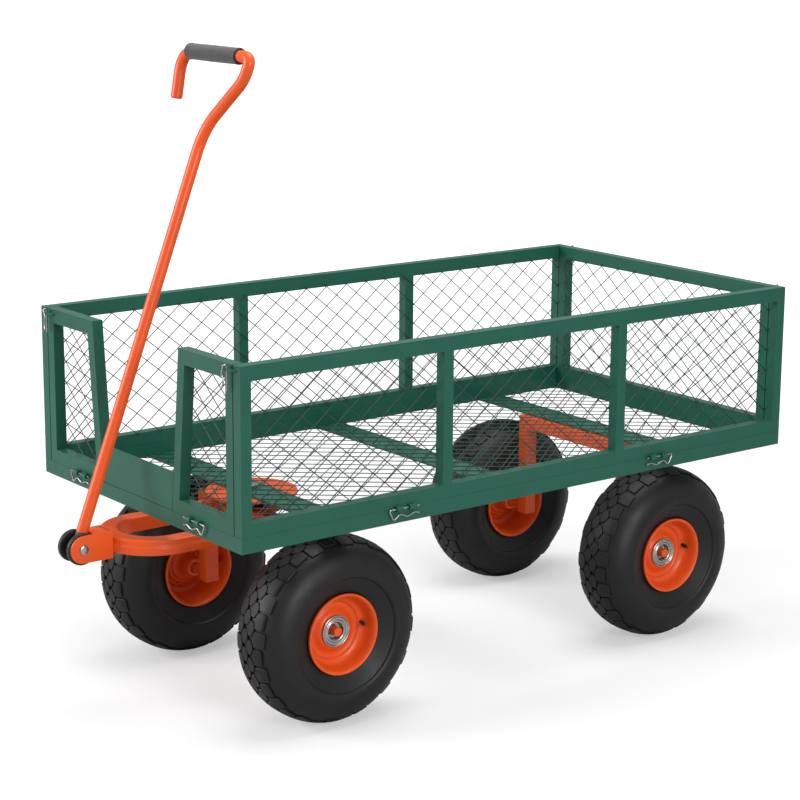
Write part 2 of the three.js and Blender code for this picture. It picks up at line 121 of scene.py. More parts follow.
class CartTyre(bpy.types.PropertyGroup):
    """Tyre carcass and tread"""

    pitches: bpy.props.IntProperty(
        name="Tread pitches", description="Number of times the tread pattern repeats", default=16, min=6
    )
    block: length("Block height", "Height of a tread block over the carcass", 0.0038)
    groove: length("Groove width", "Width of the grooves between tread blocks", 0.0030)


class CartHandle(bpy.types.PropertyGroup):
    """Shape of the pull handle"""

    lean: slant("Lean", "Lean of the handle from upright", 20.9)
    loop_lean: slant("Loop lean", "Lean of the loop from upright", 11)
    reach: length("Reach", "Pivot to the first bend of the loop", 0.716)
    radius: length("Tube radius", "Radius of the handle tube", 0.010)
    bend: length("Bend", "Length of tube that each bend of the loop takes up on either side", 0.040)


class CartSettings(bpy.types.PropertyGroup):
    """Everything that can be changed about the cart's looks"""

    colours: bpy.props.PointerProperty(type=CartColours)
    metal: bpy.props.PointerProperty(type=CartSheetMetal)
    wire: bpy.props.PointerProperty(type=CartWire)
    tyre: bpy.props.PointerProperty(type=CartTyre)
    handle: bpy.props.PointerProperty(type=CartHandle)


def settings():
    return bpy.context.scene.garden_cart


# ---- meshes -------------------------------------------------------------------------------------

SMOOTH_UNDER = math.radians(38)


def box_centre(node):
    low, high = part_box(node)
    return (low + high) / 2


def built_mesh(name, verts, faces):
    """A closed mesh with its normals outwards and its gentle edges smooth."""
    bm = bmesh.new()
    made = [bm.verts.new(v) for v in verts]
    for face in faces:
        bm.faces.new([made[i] for i in face])
    bmesh.ops.recalc_face_normals(bm, faces=bm.faces)
    mesh = bpy.data.meshes.new(name)
    bm.to_mesh(mesh)
    bm.free()
    mesh.shade_smooth()
    mesh.set_sharp_from_angle(angle=SMOOTH_UNDER)
    return mesh


def joined(name, meshes):
    """One mesh that holds several closed shells."""
    verts, faces = [], []
    for mesh in meshes:
        first = len(verts)
        verts += [v.co.copy() for v in mesh.vertices]
        faces += [[first + i for i in polygon.vertices] for polygon in mesh.polygons]
    return built_mesh(name, verts, faces)


def place(name, mesh, nodes):
    """Puts a mesh in the scene in the stead of the frame's nodes, with their body, slot and finish."""
    piece = bpy.data.objects.new(name, mesh)
    bpy.context.collection.objects.link(piece)
    slot = SLOT_OF[nodes[0]]
    mesh.materials.clear()
    mesh.materials.append(finish(slot))
    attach(piece, BODY_OF[nodes[0]])
    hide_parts(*nodes)
    return piece


def baked(source):
    """The plain mesh that an object's modifiers make; the object itself is removed."""
    bpy.context.view_layer.update()
    shape = source.evaluated_get(bpy.context.evaluated_depsgraph_get())
    mesh = bpy.data.meshes.new_from_object(shape)
    bpy.data.objects.remove(source)
    return mesh


def with_round_edges(mesh, width, segments=2):
    """Rounds every sharp edge of a mesh, and keeps its flat faces flat in the light."""
    source = bpy.data.objects.new("round edges", mesh)
    bpy.context.collection.objects.link(source)
    bevel = source.modifiers.new("Bevel", "BEVEL")
    bevel.width = width
    bevel.segments = segments
    bevel.limit_method = "ANGLE"
    bevel.angle_limit = SMOOTH_UNDER
    weighted = source.modifiers.new("Weighted Normal", "WEIGHTED_NORMAL")
    weighted.keep_sharp = True
    for polygon in mesh.polygons:
        polygon.use_smooth = True
    return baked(source)


def softened(node, width, segments=2):
    """A copy of a frame node with its loose triangles merged and its edges rounded."""
    bm = bmesh.new()
    bm.from_mesh(frame["nodes"][node].data)
    bmesh.ops.remove_doubles(bm, verts=bm.verts, dist=1e-5)
    flat = math.radians(0.5)
    bmesh.ops.dissolve_limit(bm, angle_limit=flat, verts=bm.verts, edges=bm.edges)
    mesh = bpy.data.meshes.new(node)
    bm.to_mesh(mesh)
    bm.free()
    return with_round_edges(mesh, width, segments)


def rounded(points, corner, steps=6, closed=False):
    """A route along straight runs, each corner turned into a smooth curve."""
    points = [Vector(p) for p in points]
    count = len(points)
    route = [] if closed else [points[0]]
    for i in range(0 if closed else 1, count if closed else count - 1):
        here, back, ahead = points[i], points[i - 1], points[(i + 1) % count]
        reach = min(corner, (back - here).length * 0.48, (ahead - here).length * 0.48)
        enter = here + (back - here).normalized() * reach
        leave = here + (ahead - here).normalized() * reach
        for step in range(steps + 1):
            t = step / steps
            route.append(enter.lerp(here, t).lerp(here.lerp(leave, t), t))
    return route if closed else [*route, points[-1]]


def subdivided(route, longest):
    """The same route with no run longer than the given length."""
    fine = [route[0]]
    for here, ahead in zip(route, route[1:]):
        parts = max(1, math.ceil((ahead - here).length / longest))
        fine += [here.lerp(ahead, (i + 1) / parts) for i in range(parts)]
    return fine


def tube_mesh(name, route, radius, sides=16):
    """A round bar along a route, its two ends chamfered and closed."""
    rings = []
    tangent = (route[1] - route[0]).normalized()
    across = tangent.orthogonal().normalized()
    chamfer = radius * 0.2
    for i, spot in enumerate(route):
        tangent = (route[min(i + 1, len(route) - 1)] - route[max(i - 1, 0)]).normalized()
        across = (across - tangent * across.dot(tangent)).normalized()
        other = tangent.cross(across)
        last = i == len(route) - 1
        if i == 0:
            rings.append((spot, across, other, radius - chamfer))
            rings.append((spot + tangent * chamfer, across, other, radius))
        elif last:
            rings.append((spot - tangent * chamfer, across, other, radius))
            rings.append((spot, across, other, radius - chamfer))
        else:
            rings.append((spot, across, other, radius))
    turns = [2 * math.pi * (i + 0.5) / sides for i in range(sides)]
    verts = [
        spot + (across * math.cos(turn) + other * math.sin(turn)) * size
        for spot, across, other, size in rings
        for turn in turns
    ]
    faces = ring_faces(len(rings), sides)
    faces.append(list(range(sides)))
    faces.append(list(range(len(verts) - sides, len(verts))))
    return built_mesh(name, verts, faces)


def ring_faces(rings, sides, closed=False):
    """The quads between rings of vertices."""
    faces = []
    for ring in range(rings if closed else rings - 1):
        near, far = ring * sides, (ring + 1) % rings * sides
        for i in range(sides):
            j = (i + 1) % sides
            faces.append([near + i, near + j, far + j, far + i])
    return faces


def turned_mesh(name, section, steps, axis=X, centre=Vector()):
    """A closed section of (along, radius) points turned about an axis through a centre."""
    side = axis.orthogonal().normalized()
    up = axis.cross(side)
    verts = []
    for step in range(steps):
        turn = 2 * math.pi * step / steps
        out = side * math.cos(turn) + up * math.sin(turn)
        verts += [centre + axis * along + out * radius for along, radius in section]
    return built_mesh(name, verts, ring_faces(steps, len(section), closed=True))


def disc_mesh(name, section, steps, axis, centre):
    """A solid of revolution whose section starts and ends on the axis."""
    side = axis.orthogonal().normalized()
    up = axis.cross(side)
    inner = section[1:-1]
    verts = [centre + axis * section[0][0], centre + axis * section[-1][0]]
    for along, radius in inner:
        for step in range(steps):
            turn = 2 * math.pi * step / steps
            verts.append(centre + axis * along + (side * math.cos(turn) + up * math.sin(turn)) * radius)
    faces = [[2 + v for v in face] for face in ring_faces(len(inner), steps)]
    end = 2 + (len(inner) - 1) * steps
    for i in range(steps):
        j = (i + 1) % steps
        faces.append([0, 2 + i, 2 + j])
        faces.append([1, end + j, end + i])
    return built_mesh(name, verts, faces)


def section(points, corner, steps=3, scale=0.001):
    """A turned piece's section in millimetres, its corners rounded, in metres."""
    loop = rounded([(x, y, 0) for x, y in points], corner, steps, closed=True)
    return [(p.x * scale, p.y * scale) for p in loop]


def prism_mesh(name, outline, low, high, basis):
    """A flat outline given thickness along the third axis of a basis (three vectors)."""
    across, up, along = basis
    verts = [across * x + up * y + along * end for end in (low, high) for x, y in outline]
    count = len(outline)
    faces = ring_faces(2, count)
    faces += [list(range(count)), list(range(count, 2 * count))]
    return built_mesh(name, verts, faces)


def catmull(points, per_run):
    """A smooth curve through the given 2-D points."""
    curve = []
    for i in range(len(points) - 1):
        p0, p1, p2, p3 = (Vector(points[min(max(i + k, 0), len(points) - 1)]) for k in (-1, 0, 1, 2))
        for step in range(per_run):
            t = step / per_run
            curve.append(
                0.5 * (2 * p1 + (p2 - p0) * t + (2 * p0 - 5 * p1 + 4 * p2 - p3) * t**2
                       + (3 * p1 - p0 - 3 * p2 + p3) * t**3)
            )
    curve.append(Vector(points[-1]))
    return curve


# ---- geometry node trees ------------------------------------------------------------------------


class Tree:
    """A short way to write a node tree."""

    def __init__(self, tree):
        self.tree = tree

    def node(self, kind, **values):
        """Adds a node; a value sets a property, or an input when its name is inN."""
        made = self.tree.nodes.new(kind)
        for name, value in values.items():
            if name.startswith("in") and name[2:].isdigit():
                self.feed(made.inputs[int(name[2:])], value)
            else:
                setattr(made, name, value)
        return made

    def feed(self, socket, value):
        if isinstance(value, bpy.types.NodeSocket):
            self.tree.links.new(value, socket)
        else:
            socket.default_value = value

    def maths(self, operation, first, second=0.0):
        return self.node("ShaderNodeMath", operation=operation, in0=first, in1=second).outputs[0]


def geometry_tree(name, inputs):
    """An empty geometry tree with the given (name, socket type, default) inputs."""
    tree = bpy.data.node_groups.new(name, "GeometryNodeTree")
    tree.is_modifier = True
    tree.interface.new_socket("Geometry", in_out="INPUT", socket_type="NodeSocketGeometry")
    for label, kind, default in inputs:
        socket = tree.interface.new_socket(label, in_out="INPUT", socket_type=kind)
        if default is not None:
            socket.default_value = default
    tree.interface.new_socket("Geometry", in_out="OUTPUT", socket_type="NodeSocketGeometry")
    graph = Tree(tree)
    start = graph.node("NodeGroupInput")
    return graph, start.outputs


def close_tree(graph, shape, material):
    """Ends a geometry tree in Realize Instances and Set Material."""
    realised = graph.node("GeometryNodeRealizeInstances", in0=shape)
    coated = graph.node("GeometryNodeSetMaterial", in0=realised.outputs[0])
    graph.feed(coated.inputs["Material"], material)
    graph.node("NodeGroupOutput", in0=coated.outputs[0])


def tree_mesh(name, tree, values, start_mesh=None):
    """The plain mesh that a geometry tree makes with the given named inputs."""
    source = bpy.data.objects.new(name, start_mesh or bpy.data.meshes.new(name))
    bpy.context.collection.objects.link(source)
    modifier = source.modifiers.new(name, "NODES")
    modifier.node_group = tree
    sockets = {s.name: s.identifier for s in tree.interface.items_tree if s.in_out == "INPUT"}
    for label, value in values.items():
        modifier[sockets[label]] = value
    return baked(source)


def wire_tree():
    """Diamond mesh: two families of straight wires, each cut off at the sheet's slanted outline."""
    graph, given = geometry_tree("Diamond wire mesh", [
        ("Width", "NodeSocketFloat", 1.0),
        ("Height", "NodeSocketFloat", 0.25),
        ("Lean", "NodeSocketFloat", 0.0),
        ("Pitch", "NodeSocketFloat", 0.047),
        ("Slope", "NodeSocketFloat", 1.24),
        ("Wires", "NodeSocketInt", 30),
        ("Wire Radius", "NodeSocketFloat", 0.001),
        ("Wire Finish", "NodeSocketMaterial", None),
    ])
    width, height, lean, pitch, slope = (given[n] for n in ("Width", "Height", "Lean", "Pitch", "Slope"))
    index = graph.node("GeometryNodeInputIndex").outputs[0]
    wire = graph.maths("FLOOR", graph.maths("DIVIDE", index, 2.0))
    end = graph.maths("MODULO", index, 2.0)
    families = []
    for sign in (1, -1):
        if sign > 0:
            steep = graph.maths("SUBTRACT", slope, lean)
            first = graph.maths("MULTIPLY", graph.maths("MULTIPLY", steep, height), -1.0)
        else:
            steep = graph.maths("ADD", slope, lean)
            first = 0.0
        foot = graph.maths("ADD", first, graph.maths("MULTIPLY", graph.maths("ADD", wire, 0.5), pitch))
        at_lean = graph.maths("DIVIDE", foot, steep)
        past = graph.maths("DIVIDE", graph.maths("SUBTRACT", foot, width), slope)
        if sign > 0:
            low = graph.maths("MAXIMUM", graph.maths("MULTIPLY", at_lean, -1.0), 0.0)
            high = graph.maths("MINIMUM", graph.maths("MULTIPLY", past, -1.0), height)
        else:
            low = graph.maths("MAXIMUM", past, 0.0)
            high = graph.maths("MINIMUM", at_lean, height)
        up = graph.maths("ADD", low, graph.maths("MULTIPLY", graph.maths("SUBTRACT", high, low), end))
        run = graph.maths("MULTIPLY", graph.maths("MULTIPLY", up, slope), float(sign))
        spot = graph.node("ShaderNodeCombineXYZ", in0=graph.maths("ADD", foot, run), in2=up)
        points = graph.node("GeometryNodePoints", in0=given["Wires"])
        line = graph.node("GeometryNodeCurvePrimitiveLine")
        lines = graph.node("GeometryNodeInstanceOnPoints", in0=points.outputs[0])
        graph.feed(lines.inputs["Instance"], line.outputs[0])
        loose = graph.node("GeometryNodeRealizeInstances", in0=lines.outputs[0])
        moved = graph.node("GeometryNodeSetPosition", in0=loose.outputs[0])
        graph.feed(moved.inputs["Position"], spot.outputs[0])
        families.append(moved.outputs[0])
    both = graph.node("GeometryNodeJoinGeometry")
    for family in reversed(families):
        graph.tree.links.new(family, both.inputs[0])
    circle = graph.node("GeometryNodeCurvePrimitiveCircle")
    graph.feed(circle.inputs["Resolution"], 6)
    graph.feed(circle.inputs["Radius"], given["Wire Radius"])
    thick = graph.node("GeometryNodeCurveToMesh", in0=both.outputs[0], in1=circle.outputs[0])
    graph.feed(thick.inputs["Fill Caps"], True)
    close_tree(graph, thick.outputs[0], given["Wire Finish"])
    return graph.tree


def ring_tree():
    """One pitch of tread repeated round the axle."""
    graph, given = geometry_tree("Tread ring", [
        ("Pitches", "NodeSocketInt", 15),
        ("Finish", "NodeSocketMaterial", None),
    ])
    points = graph.node("GeometryNodePoints", in0=given["Pitches"])
    index = graph.node("GeometryNodeInputIndex").outputs[0]
    pitch = graph.maths("DIVIDE", 2 * math.pi, given["Pitches"])
    turn = graph.node("ShaderNodeCombineXYZ", in0=graph.maths("MULTIPLY", index, pitch))
    ring = graph.node("GeometryNodeInstanceOnPoints", in0=points.outputs[0])
    graph.feed(ring.inputs["Instance"], given["Geometry"])
    graph.feed(ring.inputs["Rotation"], turn.outputs[0])
    close_tree(graph, ring.outputs[0], given["Finish"])
    return graph.tree


# ---- finishes -----------------------------------------------------------------------------------


def shader_group(name, inputs, outputs):
    """An empty shader group; inputs and outputs are (name, kind, default)."""
    kinds = {"float": "NodeSocketFloat", "colour": "NodeSocketColor"}
    tree = bpy.data.node_groups.new(name, "ShaderNodeTree")
    for label, kind, default in inputs:
        socket = tree.interface.new_socket(label, in_out="INPUT", socket_type=kinds[kind])
        socket.default_value = default
    for label, kind in outputs:
        tree.interface.new_socket(label, in_out="OUTPUT", socket_type=kinds[kind])
    graph = Tree(tree)
    start = graph.node("NodeGroupInput").outputs
    end = graph.node("NodeGroupOutput").inputs
    return graph, start, end


def noise(graph, scale, detail=2.0, stretch=None):
    """A noise field over the piece's own coordinates."""
    where = graph.node("ShaderNodeTexCoord").outputs["Object"]
    if stretch:
        where = graph.node("ShaderNodeMapping", in0=where, in3=stretch).outputs[0]
    texture = graph.node("ShaderNodeTexNoise")
    graph.feed(texture.inputs["Vector"], where)
    graph.feed(texture.inputs["Scale"], scale)
    graph.feed(texture.inputs["Detail"], detail)
    return texture.outputs[0]


def spread(graph, field, low, high):
    """Maps the useful middle of a noise field onto a range."""
    node = graph.node("ShaderNodeMapRange", in0=field, in1=0.3, in2=0.7)
    graph.feed(node.inputs[3], low)
    graph.feed(node.inputs[4], high)
    return node.outputs[0]


def mixed(graph, factor, first, second, blend="MIX"):
    node = graph.node("ShaderNodeMix", data_type="RGBA", blend_type=blend, in0=factor)
    graph.feed(node.inputs[6], first)
    graph.feed(node.inputs[7], second)
    return node.outputs[2]


def powder_group():
    """Powder coat: fine orange peel, faint mottling of colour and gloss."""
    graph, given, out = shader_group(
        "Powder coat",
        [("Colour", "colour", (0.5, 0.5, 0.5, 1)), ("Mottle", "float", 0.12), ("Gloss Spread", "float", 0.08),
         ("Roughness", "float", 0.4), ("Peel Scale", "float", 420.0)],
        [("Colour", "colour"), ("Roughness", "float"), ("Height", "float")],
    )
    patches = noise(graph, 9.0, 4.0)
    shade = spread(graph, patches, graph.maths("SUBTRACT", 1.0, given["Mottle"]), 1.0)
    grey = graph.node("ShaderNodeCombineColor", in0=shade, in1=shade, in2=shade).outputs[0]
    graph.feed(out[0], mixed(graph, 1.0, given["Colour"], grey, "MULTIPLY"))
    haze = spread(graph, noise(graph, 35.0, 3.0), 0.0, given["Gloss Spread"])
    graph.feed(out[1], graph.maths("ADD", given["Roughness"], haze))
    graph.feed(out[2], noise(graph, given["Peel Scale"], 1.5))
    return graph.tree


def dust_group():
    """Light dust on faces that look up, scattered in noise patches."""
    graph, given, out = shader_group(
        "Settled dust",
        [("Colour", "colour", (0.5, 0.5, 0.5, 1)), ("Roughness", "float", 0.5), ("Amount", "float", 0.1),
         ("Dust", "colour", (0.42, 0.39, 0.34, 1))],
        [("Colour", "colour"), ("Roughness", "float")],
    )
    normal = graph.node("ShaderNodeNewGeometry").outputs["Normal"]
    lying = graph.node("ShaderNodeSeparateXYZ", in0=normal).outputs[2]
    lying = graph.node("ShaderNodeMapRange", in0=lying, in1=-0.2, in2=1.0, in3=0.25, in4=1.0).outputs[0]
    patch = spread(graph, noise(graph, 22.0, 5.0), 0.1, 1.0)
    mask = graph.maths("MULTIPLY", graph.maths("MULTIPLY", lying, patch), given["Amount"])
    graph.feed(out[0], mixed(graph, mask, given["Colour"], given["Dust"]))
    graph.feed(out[1], graph.maths("ADD", given["Roughness"], graph.maths("MULTIPLY", mask, 0.35)))
    return graph.tree


def rubber_group():
    """Moulded rubber: mould texture, a faint grey bloom and fine scuffs."""
    graph, given, out = shader_group(
        "Moulded rubber",
        [("Colour", "colour", (0.02, 0.02, 0.02, 1)), ("Bloom", "float", 0.3),
         ("Grain", "float", 900.0)],
        [("Colour", "colour"), ("Roughness", "float"), ("Height", "float")],
    )
    bloom = spread(graph, noise(graph, 14.0, 6.0), 0.0, given["Bloom"])
    graph.feed(out[0], mixed(graph, bloom, given["Colour"], (0.045, 0.044, 0.043, 1)))
    graph.feed(out[1], spread(graph, noise(graph, 30.0, 3.0), 0.42, 0.56))
    coarse = graph.maths("MULTIPLY", noise(graph, 160.0, 3.0), 0.6)
    graph.feed(out[2], graph.maths("ADD", coarse, noise(graph, given["Grain"], 1.0)))
    return graph.tree


def plating_group():
    """Zinc plate: drawn streaks and a faint warm and cool shift."""
    graph, given, out = shader_group(
        "Zinc plate",
        [("Colour", "colour", (0.6, 0.6, 0.6, 1)), ("Streak", "float", 0.12)],
        [("Colour", "colour"), ("Roughness", "float"), ("Height", "float")],
    )
    drawn = noise(graph, 260.0, 4.0, stretch=(0.15, 0.15, 1.0))
    patches = spread(graph, noise(graph, 60.0, 2.0), 0.0, 1.0)
    tint = mixed(graph, patches, (0.93, 0.96, 1, 1), (1, 0.97, 0.9, 1))
    graph.feed(out[0], mixed(graph, 1.0, given["Colour"], tint, "MULTIPLY"))
    graph.feed(out[1], graph.maths("ADD", 0.22, graph.maths("MULTIPLY", drawn, given["Streak"])))
    graph.feed(out[2], drawn)
    return graph.tree


def foam_group():
    """Closed-cell foam: tiny pits, a slightly worn skin and dark cut ends."""
    graph, given, out = shader_group(
        "Foam skin",
        [("Colour", "colour", (0.1, 0.1, 0.1, 1)), ("Cell Scale", "float", 1100.0), ("End", "float", 0.0744)],
        [("Colour", "colour"), ("Roughness", "float"), ("Height", "float")],
    )
    where = graph.node("ShaderNodeTexCoord").outputs["Object"]
    cells = graph.node("ShaderNodeTexVoronoi")
    graph.feed(cells.inputs["Vector"], where)
    graph.feed(cells.inputs["Scale"], given["Cell Scale"])
    pits = cells.outputs["Distance"]
    worn = spread(graph, noise(graph, 40.0, 4.0), 0.75, 1.15)
    grey = graph.node("ShaderNodeCombineColor", in0=worn, in1=worn, in2=worn).outputs[0]
    skin = mixed(graph, 1.0, given["Colour"], grey, "MULTIPLY")
    across = graph.node("ShaderNodeSeparateXYZ", in0=where).outputs[0]
    cut = graph.maths("GREATER_THAN", graph.maths("ABSOLUTE", across), given["End"])
    graph.feed(out[0], mixed(graph, cut, skin, (0.006, 0.006, 0.006, 1)))
    graph.feed(out[1], spread(graph, noise(graph, 80.0, 2.0), 0.72, 0.9))
    graph.feed(out[2], pits)
    return graph.tree


GROUPS = {
    "Powder coat": powder_group,
    "Settled dust": dust_group,
    "Moulded rubber": rubber_group,
    "Zinc plate": plating_group,
    "Foam skin": foam_group,
}


def group(name):
    """A shader group, built the first time it is asked for."""
    return bpy.data.node_groups.get(name) or GROUPS[name]()


def coated(name, skin, values, bump=0.1, bump_size=0.0002, dust=0.0, metallic=0.0, **shader_values):
    """A material: one skin group, a little dust, a bump and the shader itself."""
    material = bpy.data.materials.new(name)
    material.use_nodes = True
    graph = Tree(material.node_tree)
    shader = material.node_tree.nodes["Principled BSDF"]
    surface = graph.node("ShaderNodeGroup", node_tree=group(skin))
    for label, value in values.items():
        graph.feed(surface.inputs[label], value)
    base, roughness = surface.outputs["Colour"], surface.outputs["Roughness"]
    if dust:
        settled = graph.node("ShaderNodeGroup", node_tree=group("Settled dust"))
        graph.feed(settled.inputs["Colour"], base)
        graph.feed(settled.inputs["Roughness"], roughness)
        graph.feed(settled.inputs["Amount"], dust)
        base, roughness = settled.outputs["Colour"], settled.outputs["Roughness"]
    relief = graph.node("ShaderNodeBump")
    graph.feed(relief.inputs["Strength"], bump)
    graph.feed(relief.inputs["Distance"], bump_size)
    graph.feed(relief.inputs["Height"], surface.outputs["Height"])
    graph.feed(shader.inputs["Base Color"], base)
    graph.feed(shader.inputs["Roughness"], roughness)
    graph.feed(shader.inputs["Normal"], relief.outputs["Normal"])
    shader.inputs["Metallic"].default_value = metallic
    for label, value in shader_values.items():
        shader.inputs[label].default_value = value
    return material


# each slot's material: name, colour setting, skin group, the skin's values, then bump and shader values
FINISHES = {
    "green_paint": ("green powder coat", "green", "Powder coat", {"Roughness": 0.34},
                    {"bump": 0.12, "dust": 0.02, "Specular IOR Level": 0.35}),
    "green_wire": ("green wire coat", "wire", "Powder coat", {"Roughness": 0.45},
                   {"bump": 0.1, "dust": 0.03}),
    "orange_paint": ("orange powder coat", "orange", "Powder coat", {"Roughness": 0.3},
                     {"bump": 0.12, "dust": 0.01, "Specular IOR Level": 0.35}),
    "tyre_rubber": ("tyre rubber", "rubber", "Moulded rubber", {"Bloom": 0.05},
                    {"bump": 0.25, "bump_size": 0.0004, "Specular IOR Level": 0.35}),
    "black_plastic": ("black plastic", "plastic", "Moulded rubber", {"Bloom": 0.1}, {"bump": 0.15}),
    "foam_grip": ("foam grip", "foam", "Foam skin", {},
                  {"bump": 0.45, "bump_size": 0.0006, "Sheen Weight": 0.25}),
    "zinc": ("zinc plate", "zinc", "Zinc plate", {}, {"bump": 0.06, "metallic": 1.0}),
}
made_finishes = {}


def finish(slot):
    """The material of one of the record's slots."""
    if slot not in made_finishes:
        name, chosen, skin, values, options = FINISHES[slot]
        base = (*getattr(settings().colours, chosen), 1.0)
        made_finishes[slot] = coated(name, skin, {"Colour": base, **values}, **options)
    return made_finishes[slot]


# ---- bed and panels -----------------------------------------------------------------------------

PANEL_FRAMES = (
    "left_panel_frame", "right_panel_frame", "rear_panel_frame",
    "front_panel_left_frame", "front_panel_right_frame",
)
# the centre plate stops short of the two panel frames that it is fixed to
PLATE_SHRINK = (0.994, 1, 0.985)
BED_TUBES = ("base_frame", "floor_bar_front", "floor_bar_middle", "floor_bar_rear")


class CART_OT_bed(bpy.types.Operator):
    """Round the edges of the base frame, its floor bars and the panel frames"""

    bl_idname = "cart.bed"
    bl_label = "Bed and panel frames"

    def execute(self, context):
        metal = settings().metal
        for node in (*BED_TUBES, *PANEL_FRAMES):
            thin = node.startswith("floor_bar")
            mesh = softened(node, metal.plate_edge if thin else metal.tube_edge)
            place(f"{node}_body", mesh, [node])
        plate = softened("front_panel_plate", metal.plate_edge)
        middle = Matrix.Translation(box_centre("front_panel_plate"))
        plate.transform(middle @ Matrix.Diagonal((*PLATE_SHRINK, 1)) @ middle.inverted())
        place("front_panel_plate_body", plate, ["front_panel_plate"])
        return {"FINISHED"}


# ---- wire mesh ----------------------------------------------------------------------------------


class CART_OT_wire_mesh(bpy.types.Operator):
    """Make the diamond wire mesh of the floor and of every panel"""

    bl_idname = "cart.wire_mesh"
    bl_label = "Wire mesh"

    def execute(self, context):
        tree = wire_tree()
        for node in (n for n in frame["nodes"] if n.endswith("_mesh")):
            low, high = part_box(node)
            trim = 0.0 if node == "floor_mesh" else settings().wire.trim
            inset = ((X if high.x - low.x > high.y - low.y else Y) + Z) * trim
            low, high = low + inset, high - inset
            mesh = tree_mesh(node, tree, self.sizes(node, low, high))
            mesh.transform(self.position(node, low, high))
            mesh.shade_smooth()
            place(f"{node}_wires", mesh, [node])
        return {"FINISHED"}

    def sizes(self, node, low, high):
        """The tree's inputs for one sheet."""
        wire = settings().wire
        size = high - low
        lying = node == "floor_mesh"
        width = size.y if lying or size.y > size.x else size.x
        height = size.x if lying else size.z
        slope = wire.across / wire.up
        lean = front_lean(node) if node.startswith("front_panel") else 0.0
        return {
            "Width": width, "Height": height, "Lean": lean, "Pitch": wire.across, "Slope": slope,
            "Wires": int((width + (slope - lean) * height) / wire.across),
            "Wire Radius": wire.diameter / 2, "Wire Finish": finish("green_wire"),
        }

    def position(self, node, low, high):
        """Turns a sheet drawn in X and Z into its place."""
        middle = (low + high) / 2
        if node == "floor_mesh":
            return Matrix(((0, 0, 1, low.x), (1, 0, 0, low.y), (0, 1, 0, middle.z), (0, 0, 0, 1)))
        if node.startswith(("left", "right")):
            return Matrix(((0, 1, 0, middle.x), (1, 0, 0, low.y), (0, 0, 1, low.z), (0, 0, 0, 1)))
        if node == "front_panel_left_mesh":
            return Matrix(((-1, 0, 0, high.x), (0, 1, 0, middle.y), (0, 0, 1, low.z), (0, 0, 0, 1)))
        return Matrix(((1, 0, 0, low.x), (0, 1, 0, middle.y), (0, 0, 1, low.z), (0, 0, 0, 1)))


def front_lean(node):
    """How far the notch side of a front sheet moves out for each unit of height."""
    low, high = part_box(node)
    corners = [v.co for v in frame["nodes"][node].data.vertices]
    foot = min(abs(c.x) for c in corners if c.z < low.z + 1e-4)
    top = min(abs(c.x) for c in corners if c.z > high.z - 1e-4)
    return (top - foot) / (high.z - low.z)


# ---- clips and pins -----------------------------------------------------------------------------

CLIP_REACH = 0.0345
CLIP_SAG = 0.0015
CLIP_WIRE = 0.0014
CLIP_ENDS = {"front": ("left", "right"), "right": ("front", "rear"), "rear": ("right", "left"),
             "left": ("rear", "front")}
# the clip's wire in millimetres, (along, up), from the straight leg's end round to the wavy leg's
CLIP_WAVE = [(-30, 0), (33, 0), (23, -19), (11, -8.5), (-6, -15.5), (-20, -9.5), (-30, -12.5)]


def clip_route(node, outwards):
    """A hairpin clip: its straight leg along the seam and its wavy leg hanging below."""
    low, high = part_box(node)
    middle = (low + high) / 2
    along = X if high.x - low.x > high.y - low.y else Y
    foot = Vector((middle.x, middle.y, high.z - CLIP_SAG)) - along * middle.dot(along)
    tip = high.dot(along) if outwards > 0 else low.dot(along)
    zero = tip - outwards * CLIP_REACH
    points = [foot + along * (zero + outwards * x * 0.001) + Z * (z * 0.001) for x, z in CLIP_WAVE]
    return rounded(points, 0.005, 5)


class CART_OT_clips(bpy.types.Operator):
    """Bend the hairpin clips and the drop pins from zinc-plated wire"""

    bl_idname = "cart.clips"
    bl_label = "Clips and drop pins"

    def execute(self, context):
        for side, ends in CLIP_ENDS.items():
            towards_second = 1 if side in ("front", "right") else -1
            for end, way in zip(ends, (-1, 1)):
                node = f"{side}_clip_{end}"
                mesh = tube_mesh(node, clip_route(node, way * towards_second), CLIP_WIRE, 10)
                place(f"{node}_wire", mesh, [node])
        for end in ENDS:
            for side, hand in HANDS.items():
                node = f"{end}_drop_pin_{side}"
                mesh = tube_mesh(node, self.pin_route(node, hand), PIN_WIRE, 10)
                place(f"{node}_wire", mesh, [node])
        return {"FINISHED"}

    def pin_route(self, node, hand):
        """A drop pin: a straight shank through the lug and a bowed leg that hangs in front of it."""
        low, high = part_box(node)
        front = -1 if low.y < 0 else 1
        radius = PIN_WIRE
        shank = Vector((
            high.x - radius if hand > 0 else low.x + radius,
            (low.y + high.y) / 2,
            0,
        ))
        route = [Vector((0, 0, low.z))]
        for across, out, below in PIN_BOW:
            route.append(Vector((-hand * across, front * out, high.z * 1000 - below)) * 0.001)
        return rounded([shank + p for p in route], 0.004, 5)


PIN_WIRE = 0.0014
# the drop pin over its shank, in millimetres: (across, out, below the top)
PIN_BOW = [(0, 0, 1.5), (0.5, 6, 0.5), (3, 6.4, 8), (5.5, 6.4, 16), (1, 5.4, 27), (4, 6.4, 37)]


# ---- running gear -------------------------------------------------------------------------------


